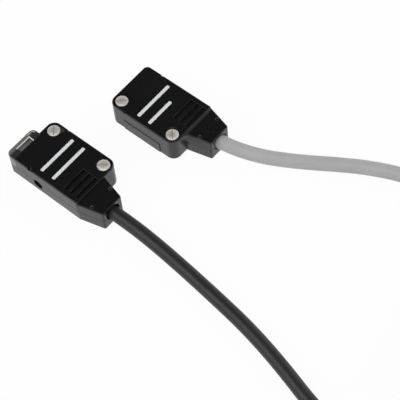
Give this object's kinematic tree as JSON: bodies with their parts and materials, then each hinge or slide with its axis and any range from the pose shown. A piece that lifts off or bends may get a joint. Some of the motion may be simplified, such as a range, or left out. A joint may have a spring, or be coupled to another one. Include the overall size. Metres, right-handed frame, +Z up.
{
  "type": "through-beam photoelectric sensor",
  "caption": "Miniature through-beam photoelectric sensor pair: flat black moulded receiver and emitter, each with corner screws and a tapered cable boot on its own cable.",
  "frame": {"origin": "middle of the two housings' box, on the surface that they lie on", "axes": "+Z up from the flat backs to the screw heads, +Y the way both lens ends point, -X towards the receiver"},
  "size_m": [0.0491, 0.1484, 0.0155],
  "materials": {
    "housing": "moulded, semi-gloss",
    "lens": "clear smoky moulding",
    "board": "solder resist",
    "ceramic": "fired ceramic",
    "chip": "moulded epoxy",
    "optic": "clear epoxy",
    "orange_lamp": "clear epoxy",
    "green_lamp": "clear epoxy",
    "screw": "nickel plated",
    "black_jacket": "extruded, satin",
    "grey_jacket": "extruded, satin",
    "brown_core": "extruded",
    "blue_core": "extruded",
    "black_core": "extruded",
    "tie": "moulded",
    "copper": "bare strands"
  },
  "bodies": {
    "root": {"receiver_case": "housing", "receiver_back_cover": "housing", "receiver_circuit_board": "board", "receiver_chip_components": "ceramic", "receiver_cable_end": "black_jacket", "receiver_mounting_screws": "screw", "receiver_core_brown": "brown_core", "receiver_core_blue": "blue_core", "receiver_cable": "black_jacket", "receiver_cable_coil": "black_jacket", "receiver_cable_tie": "tie", "receiver_cable_tail": "black_jacket", "receiver_lead_tips": "copper", "receiver_lead_brown": "brown_core", "receiver_lead_blue": "blue_core", "receiver_lens_block": "lens", "receiver_photodetector": "optic", "receiver_amplifier_chip": "chip", "receiver_operation_lamp": "orange_lamp", "receiver_stability_lamp": "green_lamp", "receiver_core_black": "black_core", "receiver_lead_black": "black_core", "emitter_case": "housing", "emitter_back_cover": "housing", "emitter_circuit_board": "board", "emitter_chip_components": "ceramic", "emitter_cable_end": "grey_jacket", "emitter_mounting_screws": "screw", "emitter_core_brown": "brown_core", "emitter_core_blue": "blue_core", "emitter_cable": "grey_jacket", "emitter_cable_coil": "grey_jacket", "emitter_cable_tie": "tie", "emitter_cable_tail": "grey_jacket", "emitter_lead_tips": "copper", "emitter_lead_brown": "brown_core", "emitter_lead_blue": "blue_core", "emitter_lens": "lens", "emitter_light_diode": "optic", "emitter_driver_chip": "chip"}
  },
  "joints": []
}
